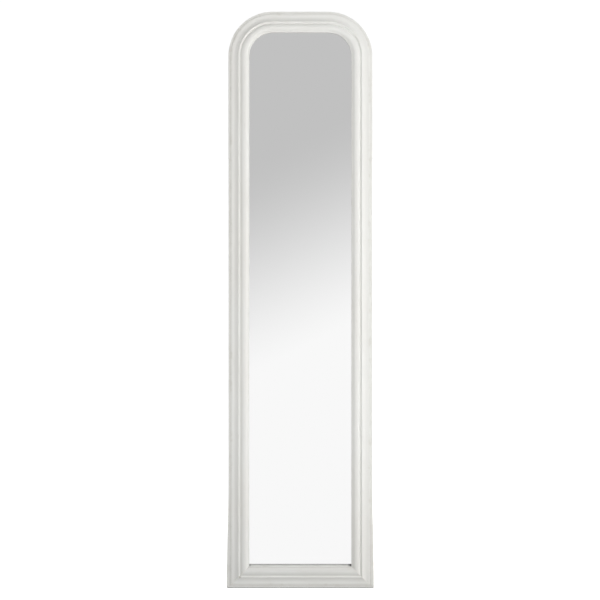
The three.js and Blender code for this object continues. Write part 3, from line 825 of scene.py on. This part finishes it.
SCREW_TIP = 0.003  # length of the point
RECESS_DEPTH, RECESS_HALF_SLOT, RECESS_TAPER = 0.0016, 0.00042, 0.55
PAN_DOME = 0.0016


def cross_recess(top, across):
    """A tapered cross that is cut into a screw's head."""
    thin = RECESS_HALF_SLOT
    corners = ((-across, -thin), (across, -thin), (across, thin), (-across, thin))
    levels = ((top, 1.0), (top - RECESS_DEPTH, RECESS_TAPER))
    arm = [[Vector((x * s, y, z * s)) for x, z in corners] for y, s in levels]
    crossing = [[Vector((p.z, p.y, -p.x)) for p in ring] for ring in arm]
    return [loft("recess", rings, ["screw_steel"]) for rings in (arm, crossing)]


def screw_mesh(name, profile, recess_top, recess):
    """A screw about the +Y axis, its head's seat at y = 0 and its shank going to -Y."""
    made = lathe(name, profile, 32, ["screw_steel"])
    combined(made, cross_recess(recess_top, recess), "DIFFERENCE")
    smooth(made, 28)
    mesh = made.data
    bpy.data.objects.remove(made, do_unlink=True)
    return mesh


def countersunk(name, shank, head, length, sink):
    profile = [(0, -length), (shank, SCREW_TIP - length), (shank, -sink), (head - 0.0002, -0.0003)]
    profile += [(head, -0.0001), (head - 0.0003, 0.0), (0, 0.0)]
    return screw_mesh(name, profile, 0.0004, head * 0.62)


def pan_head(name, shank, head, length):
    profile = [(0, -length), (shank, SCREW_TIP - length), (shank, 0.0), (head, 0.0)]
    for i in range(7):
        angle = QUARTER * i / 7
        profile.append((head * math.cos(angle) ** 0.7, PAN_DOME * (0.25 + 0.75 * math.sin(angle))))
    profile.append((0, PAN_DOME))
    return screw_mesh(name, profile, PAN_DOME + 0.0001, head * 0.6)


SCREW_MESHES = {
    "panel": countersunk("panel_screw", shank=0.0015, head=0.0034, length=0.014, sink=0.0022),
    "batten": countersunk("batten_screw", shank=0.002, head=0.0042, length=0.034, sink=0.0026),
    "joint": countersunk("joint_screw", shank=0.002, head=0.0042, length=0.052, sink=0.0026),
    "leaf": pan_head("leaf_screw", shank=0.0016, head=0.0033, length=0.014),
    "strap": pan_head("strap_screw", shank=0.0018, head=0.0036, length=0.014),
}


def screw(node, kind, body, to_row, turn, seat_axis, seat_end, twist):
    """Puts a screw where its CAD node is. Its head is at the end `seat_end` of the axis `seat_axis`."""
    low, high = drawn_box(node, to_row)
    seat = (low + high) / 2
    dome = PAN_DOME if kind in ("leaf", "strap") else 0.0
    seat[seat_axis] = high[seat_axis] - dome if seat_end > 0 else low[seat_axis] + dome
    made = in_scene(node + "_detail", SCREW_MESHES[kind].copy())
    place = to_row @ Matrix.Translation(seat) @ turn @ Matrix.Rotation(twist, 4, "Y")
    finish_piece(made, place, body, node)


def all_screws():
    straight, over = Matrix.Identity(4), Matrix.Rotation(math.pi, 4, "X")
    left, right = Matrix.Rotation(QUARTER, 4, "Z"), Matrix.Rotation(-QUARTER, 4, "Z")
    places = {
        "panel_screw": ("panel", "mirror_frame", UPRIGHT, straight, 1, 1),
        "batten_screw": ("batten", "mirror_frame", UPRIGHT, straight, 1, 1),
        "hinge_screw_frame": ("leaf", "mirror_frame", UPRIGHT, straight, 1, 1),
        "hinge_screw_leg": ("leaf", "rear_leg", LEG, straight, 1, 1),
        "leg_screw_left": ("joint", "rear_leg", LEG, left, 0, -1),
        "leg_screw_right": ("joint", "rear_leg", LEG, right, 0, 1),
        "strap_screw_frame": ("strap", "mirror_frame", UPRIGHT, straight, 1, 1),
        "strap_screw_leg": ("strap", "rear_leg", LEG, over, 1, -1),
    }
    for i, node in enumerate(sorted(n for n in frame["nodes"] if "screw" in n)):
        start = next(k for k in places if node.startswith(k))
        screw(node, *places[start], twist=0.9 * i)  # no two slots line up


WASHER_HOLE = 0.0024  # radius


def washer(node, body, to_row):
    low, high = drawn_box(node, to_row)
    outer, inner, thick = (high.x - low.x) / 2, WASHER_HOLE, high.y - low.y
    ease = 0.0002
    section = [
        (inner, ease), (inner + ease, 0), (outer - ease, 0), (outer, ease),
        (outer, thick - ease), (outer - ease, thick), (inner + ease, thick), (inner, thick - ease),
    ]
    rings = []
    for i in range(40):
        angle = 2 * math.pi * i / 40
        rings.append([Vector((r * math.cos(angle), h, r * math.sin(angle))) for r, h in section])
    made = loft(node + "_detail", rings, ["screw_steel"], closed=True)
    smooth(made, 50)
    centre = (low + high) / 2
    place = to_row @ Matrix.Translation((centre.x, low.y, centre.z))
    finish_piece(made, place, body, node)


# ---- Hinges ----

BARREL_RADIUS, BORE_RADIUS, PIN_RADIUS = 0.0034, 0.0019, 0.0016
PIN_CAP_THICK, PIN_CAP_OVER = 0.0012, 0.0009  # the cap is this much wider than the pin
LEAF_HALF, KNUCKLE_HALF, KNUCKLE_GAP = 0.025, 0.0086, 0.0004  # along the pin
LEAF_THICK, LEAF_CORNER, LEAF_ROOT = 0.0015, 0.004, 0.004
LEAF_HOLE, LEAF_HOLE_ASIDE, LEAF_HOLE_DROP = 0.0019, 0.015, 0.017
OUTER_KNUCKLES = [(-LEAF_HALF, -KNUCKLE_HALF - KNUCKLE_GAP), (KNUCKLE_HALF + KNUCKLE_GAP, LEAF_HALF)]
MIDDLE_KNUCKLE = [(-KNUCKLE_HALF, KNUCKLE_HALF)]
STEEL = ["hinge_steel"]


def rod(name, radius, x0, x1):
    ring = arc(0, 0, radius, 0, 4 * QUARTER, 40)[:-1]
    return prism(name, ring, x0, x1, "x", STEEL)


def hinge_leaf(node, body, to_row, line, up, knuckles):
    """A leaf with rounded corners, rolled into knuckles about the pin, which is at `line`."""
    low, high = drawn_box(node, to_row)
    half = (high.x - low.x) / 2
    back = 0.0002 - BARREL_RADIUS
    face = back + LEAF_THICK
    reach = (high.z - line.z) if up > 0 else (line.z - low.z)
    outline = [(-half, LEAF_ROOT), (half, LEAF_ROOT)]
    outline += arc(half - LEAF_CORNER, reach - LEAF_CORNER, LEAF_CORNER, 0, QUARTER, 8)
    outline += arc(LEAF_CORNER - half, reach - LEAF_CORNER, LEAF_CORNER, QUARTER, 2 * QUARTER, 8)
    sheet = prism(node + "_detail", [(x, up * z) for x, z in outline], back, face, "y", STEEL)
    bevelled(sheet, 0.00025, 2, 50)
    rolled = []
    for x0, x1 in knuckles:
        rolled.append(rod("barrel", BARREL_RADIUS - 0.00005, x0, x1))
        foot, top = sorted((0.0, up * (LEAF_ROOT + 0.0005)))
        rolled.append(board("root", Vector((x0, back, foot)), Vector((x1, face, top)), STEEL))
    combined(sheet, rolled, "UNION")
    tools = [rod("bore", BORE_RADIUS, -half - 0.002, half + 0.002)]
    for x in (-LEAF_HOLE_ASIDE, LEAF_HOLE_ASIDE):
        hole = lathe("hole", [(0, -0.01), (LEAF_HOLE, -0.01), (LEAF_HOLE, 0.01), (0, 0.01)], 32, STEEL)
        hole.data.transform(Matrix.Translation((x, 0, up * LEAF_HOLE_DROP)))
        tools.append(hole)
    combined(sheet, tools, "DIFFERENCE")
    smooth(sheet, 30)
    place = to_row @ Matrix.Translation(((low.x + high.x) / 2, line.y, line.z))
    finish_piece(sheet, place, body, node)


def hinge_pin(node):
    low, high = upright_box(node)
    half = (high.x - low.x) / 2
    shoulder = half - PIN_CAP_THICK
    cap = PIN_RADIUS + PIN_CAP_OVER
    profile = [(0, -half), (cap * 0.6, 0.0001 - half), (cap, 0.0005 - half)]
    profile += [(cap, -shoulder), (PIN_RADIUS, -shoulder)]
    profile += [(r, -h) for r, h in reversed(profile)]
    pin = lathe(node + "_detail", profile, 32, STEEL)
    smooth(pin, 40)
    place = UPRIGHT @ Matrix.Translation((low + high) / 2) @ Matrix.Rotation(QUARTER, 4, "Z")
    finish_piece(pin, place, "mirror_frame", node)


# ---- The batten and the leg ----

SINK_DEPTH, SINK_RADIUS, SINK_PILOT = 0.003, 0.0046, 0.0016


def countersink(screw_node, to_row, axis, level, sign):
    """A cone where a screw goes into a board, open through the board's face at `level` on an axis."""
    profile = [(0, -SINK_DEPTH), (SINK_PILOT, -SINK_DEPTH), (SINK_RADIUS, 0.0)]
    profile += [(SINK_RADIUS, 0.002), (0, 0.002)]
    tool = lathe("countersink", profile, 32, ["painted_wood"])
    low, high = drawn_box(screw_node, to_row)
    seat, outwards = (low + high) / 2, Vector((0, 0, 0))
    seat[axis], outwards[axis] = level, sign
    turn = Vector((0, 1, 0)).rotation_difference(outwards).to_matrix().to_4x4()
    tool.data.transform(Matrix.Translation(seat) @ turn)
    return tool


def finish_board(plank, edge, tools, along, to_row, body, node):
    """Eases a board's edges, sinks its screw holes and runs its grain along an axis."""
    bevelled(plank, edge)
    combined(plank, tools, "DIFFERENCE")
    grain_along(plank, along)
    smooth(plank, 40)
    finish_piece(plank, to_row, body, node)


def hinge_batten():
    low, high = upright_box("hinge_batten")
    plank = board("hinge_batten_board", low, high, ["painted_wood"])
    tools = [countersink(f"batten_screw_{i}", UPRIGHT, 1, high.y, 1) for i in range(1, 5)]
    finish_board(plank, 0.0016, tools, 0, UPRIGHT, "mirror_frame", "hinge_batten")


def leg_stile(name, side):
    node = f"leg_stile_{name}"
    points = drawn_points(node, LEG)
    low, high = leg_box(node)
    front_foot = min(p.z for p in points if abs(p.y - low.y) < 1e-5)
    back_foot = min(p.z for p in points if abs(p.y - high.y) < 1e-5)
    outline = [(low.y, front_foot), (high.y, back_foot), (high.y, high.z), (low.y, high.z)]
    plank = prism(node + "_board", outline, low.x, high.x, "x", ["painted_wood"])
    outside = high.x if side > 0 else low.x
    tools = [countersink(f"leg_screw_{name}_{i}", LEG, 0, outside, side) for i in (1, 2)]
    finish_board(plank, 0.0016, tools, 2, LEG, "rear_leg", node)


def leg_rail(node):
    low, high = leg_box(node)
    shoulder = Vector((GLUE_GAP, 0, 0))
    plank = board(node + "_board", low - shoulder, high + shoulder, ["painted_wood"])
    finish_board(plank, 0.0014, [], 0, LEG, "rear_leg", node)


# ---- The rubber soles ----


def sole(node, body, to_row, edge):
    """A rubber sole with the same section as its CAD node, and eased edges."""
    points = drawn_points(node, to_row)
    low, high = drawn_box(node, to_row)
    section = {(round(p.y, 6), round(p.z, 6)) for p in points}
    centre = Vector((sum(y for y, _ in section), sum(z for _, z in section))) / len(section)
    outline = sorted(section, key=lambda q: math.atan2(q[1] - centre.y, q[0] - centre.x))
    strip = prism(node + "_rubber", outline, low.x, high.x, "x", ["rubber"])
    bevelled(strip, edge, 2)
    smooth(strip)
    finish_piece(strip, to_row, body, node)


# ---- The stay strap ----

STRAP_WIDTH, STRAP_THICK, STRAP_EDGE = 0.025, 0.0016, 0.0006
STRAP_TAB, STRAP_BEND = 0.026, 0.003


def tape(name, line):
    """A woven tape along a line of points, with soft round edges."""
    flat_half, thick = STRAP_WIDTH / 2 - STRAP_EDGE, STRAP_THICK / 2
    section = []
    for side in (1, -1):
        for x, n in arc(0, 0, 1.0, -QUARTER, QUARTER, 4):
            section.append((side * (flat_half + STRAP_EDGE * x), side * thick * n))
    flat = [(s * flat_half * k / 4, -s * thick) for s in (-1, 1) for k in range(-3, 4)]
    outline = sorted(section + flat, key=lambda q: math.atan2(q[1] * 12, q[0]))
    rings, along, total = [], [], 0.0
    for i, p in enumerate(line):
        total += (p - line[i - 1]).length if i else 0
        forward = (line[min(i + 1, len(line) - 1)] - line[max(i - 1, 0)]).normalized()
        normal = Vector((1, 0, 0)).cross(forward).normalized()
        rings.append([p + Vector((x, 0, 0)) + normal * n for x, n in outline])
        along.append(total)
    made = loft(name, rings, ["webbing"])
    grain = [(a, x, 0) for a in along for x, _ in outline]
    set_attribute(made.data, "grain", "FLOAT_VECTOR", grain)
    smooth(made, 60)
    return made


def bend(corner, before, after):
    """Points round a corner of the strap's line, between the directions before and after."""
    start, end = corner + before * STRAP_BEND, corner + after * STRAP_BEND
    points = []
    steps = 8
    for i in range(steps + 1):
        t = i / steps
        points.append((1 - t) ** 2 * start + 2 * t * (1 - t) * corner + t * t * end)
    return points


def stay_strap():
    """Two end tabs that ride with what they are screwed to, and the span between them, on a mesh of its
    own.
    """
    to_upright = UPRIGHT.inverted() @ LEG
    frame_low, frame_high = upright_box("strap_washer_frame")
    leg_low, leg_high = leg_box("strap_washer_leg")
    off = GLUE_GAP + STRAP_THICK / 2
    half_tab = Vector((0, 0, STRAP_TAB / 2))
    frame_middle = Vector((0, frame_low.y - off, (frame_low.z + frame_high.z) / 2))
    leg_middle = Vector((0, leg_high.y + off, (leg_low.z + leg_high.z) / 2))
    frame_end, frame_bend = frame_middle - half_tab, frame_middle + half_tab
    leg_bend, leg_end = to_upright @ (leg_middle - half_tab), to_upright @ (leg_middle + half_tab)
    run = (leg_bend - frame_bend).normalized()
    first = bend(frame_bend, (frame_end - frame_bend).normalized(), run)
    last = bend(leg_bend, -run, (leg_end - leg_bend).normalized())
    start, end = first[-1], last[0]
    steps = 8
    frame_line = [frame_end.lerp(first[0], i / steps) for i in range(steps)] + first
    leg_line = last + [last[-1].lerp(leg_end, (i + 1) / steps) for i in range(steps)]
    span_line = [start.lerp(end, i / 40) for i in range(41)]
    finish_piece(tape("strap_frame_tab", frame_line), UPRIGHT, "mirror_frame", "stay_strap")
    finish_piece(tape("strap_leg_tab", leg_line), UPRIGHT, "rear_leg", "stay_strap")
    span = tape("strap_span", span_line)
    finish_piece(span, UPRIGHT, "mirror_frame", "stay_strap")
    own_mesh(span)


# ---- The CAD node that keeps its own shape ----


def keep_back_panel():
    materials = frame["nodes"]["back_panel"].data.materials
    materials.clear()
    materials.append(MATERIALS["back_panel"])


# ---- Camera, floor, light ----


def camera():
    data = bpy.data.cameras.new("camera")
    data.angle = 2 * math.atan(PICTURE_SPAN / 2 / CAMERA_DISTANCE)
    made = in_scene("camera", data)
    middle = (HEIGHT + upright_box("foot_strip")[0].z) / 2
    place = Matrix.Translation((-AIM_ASIDE, -CAMERA_DISTANCE - FILLET_UP, middle))
    made.matrix_world = UPRIGHT @ place @ Matrix.Rotation(QUARTER, 4, "X")
    bpy.context.scene.camera = made


def stage_material(name, strength, grey):
    """A surface that glows white and reflects light by its own grey."""
    look = Look(name, (grey, grey, grey), 0.9, Specular_IOR_Level=0.1)
    look.shader.inputs["Emission Color"].default_value = (1, 1, 1, 1)
    look.shader.inputs["Emission Strength"].default_value = strength
    return look.material


def hide_from(made, *rays):
    for ray in rays:
        setattr(made, "visible_" + ray, False)


def floor():
    size = 30
    corners = [(-size, -size, 0), (size, -size, 0), (size, size, 0), (-size, size, 0)]
    made = new_object("floor", corners, [(0, 1, 2, 3)], [])
    made.data.materials.append(stage_material("floor", 0.8, 0.8))
    hide_from(made, "diffuse", "glossy")


def backdrop():
    """A white dome that only the camera sees, so that the ground stays white from every side."""
    work = bmesh.new()
    bmesh.ops.create_uvsphere(work, u_segments=48, v_segments=24, radius=28)
    mesh = bpy.data.meshes.new("backdrop")
    work.to_mesh(mesh)
    work.free()
    mesh.materials.append(stage_material("backdrop", 1.03, 0))
    made = in_scene("backdrop", mesh)
    hide_from(made, "diffuse", "glossy", "transmission", "volume_scatter", "shadow")


CARD_RADIUS, CARD_SPREAD = 8.0, math.radians(85)
CARD_FOOT, CARD_HEIGHT = -14.0, 9.0


def reflection_card():
    """A curved card in front of the mirror, seen only in reflections: white low down, grey higher up."""
    verts, faces = [], []
    rim = arc(0, 0, CARD_RADIUS, -QUARTER - CARD_SPREAD, -QUARTER + CARD_SPREAD, 48)
    for i, (x, y) in enumerate(rim):
        verts += [(x, y, CARD_FOOT), (x, y, CARD_HEIGHT)]
        if i:
            faces.append((2 * i - 2, 2 * i, 2 * i + 1, 2 * i - 1))
    made = new_object("reflection_card", verts, faces, [])
    material = bpy.data.materials.new("reflection_card")
    material.use_nodes = True
    tree = material.node_tree
    tree.nodes.clear()
    place = tree.nodes.new("ShaderNodeTexCoord")
    split = tree.nodes.new("ShaderNodeSeparateXYZ")
    tree.links.new(place.outputs["Object"], split.inputs["Vector"])
    slope = ramp_node(tree, split.outputs["X"], -1.0, 1.0, 0.5, -0.5, smooth=False)
    level = math_node(tree, "ADD", slope, split.outputs["Z"])
    shade = ramp_node(tree, level, 1.14, 3.02, 1.03, 0.57)
    glow = tree.nodes.new("ShaderNodeEmission")
    tree.links.new(math_node(tree, "MINIMUM", shade, 1.004), glow.inputs["Color"])
    out = tree.nodes.new("ShaderNodeOutputMaterial")
    tree.links.new(glow.outputs["Emission"], out.inputs["Surface"])
    made.data.materials.append(material)
    hide_from(made, "camera", "diffuse", "shadow")


def area_light(name, place, target, size, power):
    data = bpy.data.lights.new(name, "AREA")
    data.shape = "RECTANGLE"
    data.size, data.size_y = size
    data.energy = power
    made = in_scene(name, data)
    made.location = place
    made.rotation_euler = (Vector(target) - Vector(place)).to_track_quat("-Z", "Y").to_euler()
    hide_from(made, "camera", "glossy")


def soft_surround(front, back, below):
    """Even light from all round, with a front, a back and a floor of their own strength."""
    world = bpy.data.worlds.new("studio")
    world.use_nodes = True
    tree = world.node_tree
    place = tree.nodes.new("ShaderNodeTexCoord")
    split = tree.nodes.new("ShaderNodeSeparateXYZ")
    tree.links.new(place.outputs["Generated"], split.inputs["Vector"])
    shade = ramp_node(tree, split.outputs["Y"], 0.05, 0.6, front, back)
    ground = ramp_node(tree, split.outputs["Z"], -0.02, 0.02, below, 0.0, smooth=False)
    brighter = math_node(tree, "MAXIMUM", shade, ground)
    tree.links.new(brighter, tree.nodes["Background"].inputs["Color"])
    bpy.context.scene.world = world


def studio():
    bpy.context.scene.view_settings.view_transform = "Standard"
    soft_surround(front=0.25, back=0.75, below=0.46)
    lamps = [  # name, place, target, size in metres, watts
        ("side_light", (3.2, -1.2, 1.2), (0, 0, 0.9), (1.4, 1.8), 58),
        ("near_light", (0.6, -2.6, 1.15), (0, 0, 0.95), (1.6, 1.2), 2),
        ("high_light", (0.0, -4.5, 3.0), (0, 0, 0.9), (3.0, 2.0), 90),
        ("low_light", (0.0, -2.0, 0.03), (0, -2.0, 2.0), (3.0, 2.4), 16),
        ("foot_light", (0.3, -1.3, 0.3), (0, -0.1, 0.1), (1.2, 0.4), 0.9),
    ]
    for lamp in lamps:
        area_light(*lamp)


# ---- Everything ----

camera()
for name, side in (("left", -1), ("right", 1)):
    stile(name, side)
    round_corner(name, side)
bottom_rail()
top_rail()
mirror_glass()
glazing_strip()
# The foot strip's grey rubber edge, just seen under the frame's foot, also stands in for the shadow line
# along the foot.
sole("foot_strip", "mirror_frame", UPRIGHT, 0.0004)
hinge_batten()
for name, side in (("left", -1), ("right", 1)):
    hinge_leaf(f"hinge_leaf_frame_{name}", "mirror_frame", UPRIGHT, HINGE_LINE, 1, OUTER_KNUCKLES)
    hinge_leaf(f"hinge_leaf_leg_{name}", "rear_leg", LEG, Vector((0, 0, 0)), -1, MIDDLE_KNUCKLE)
    hinge_pin(f"hinge_pin_{name}")
    leg_stile(name, side)
    sole(f"leg_pad_{name}", "rear_leg", LEG, 0.0005)
    setting_block(name)
    glass_cushion(name)
leg_rail("leg_top_rail")
leg_rail("leg_lower_rail")
all_screws()
washer("strap_washer_frame", "mirror_frame", UPRIGHT)
washer("strap_washer_leg", "rear_leg", LEG)
stay_strap()
keep_back_panel()
floor()
backdrop()
reflection_card()
studio()
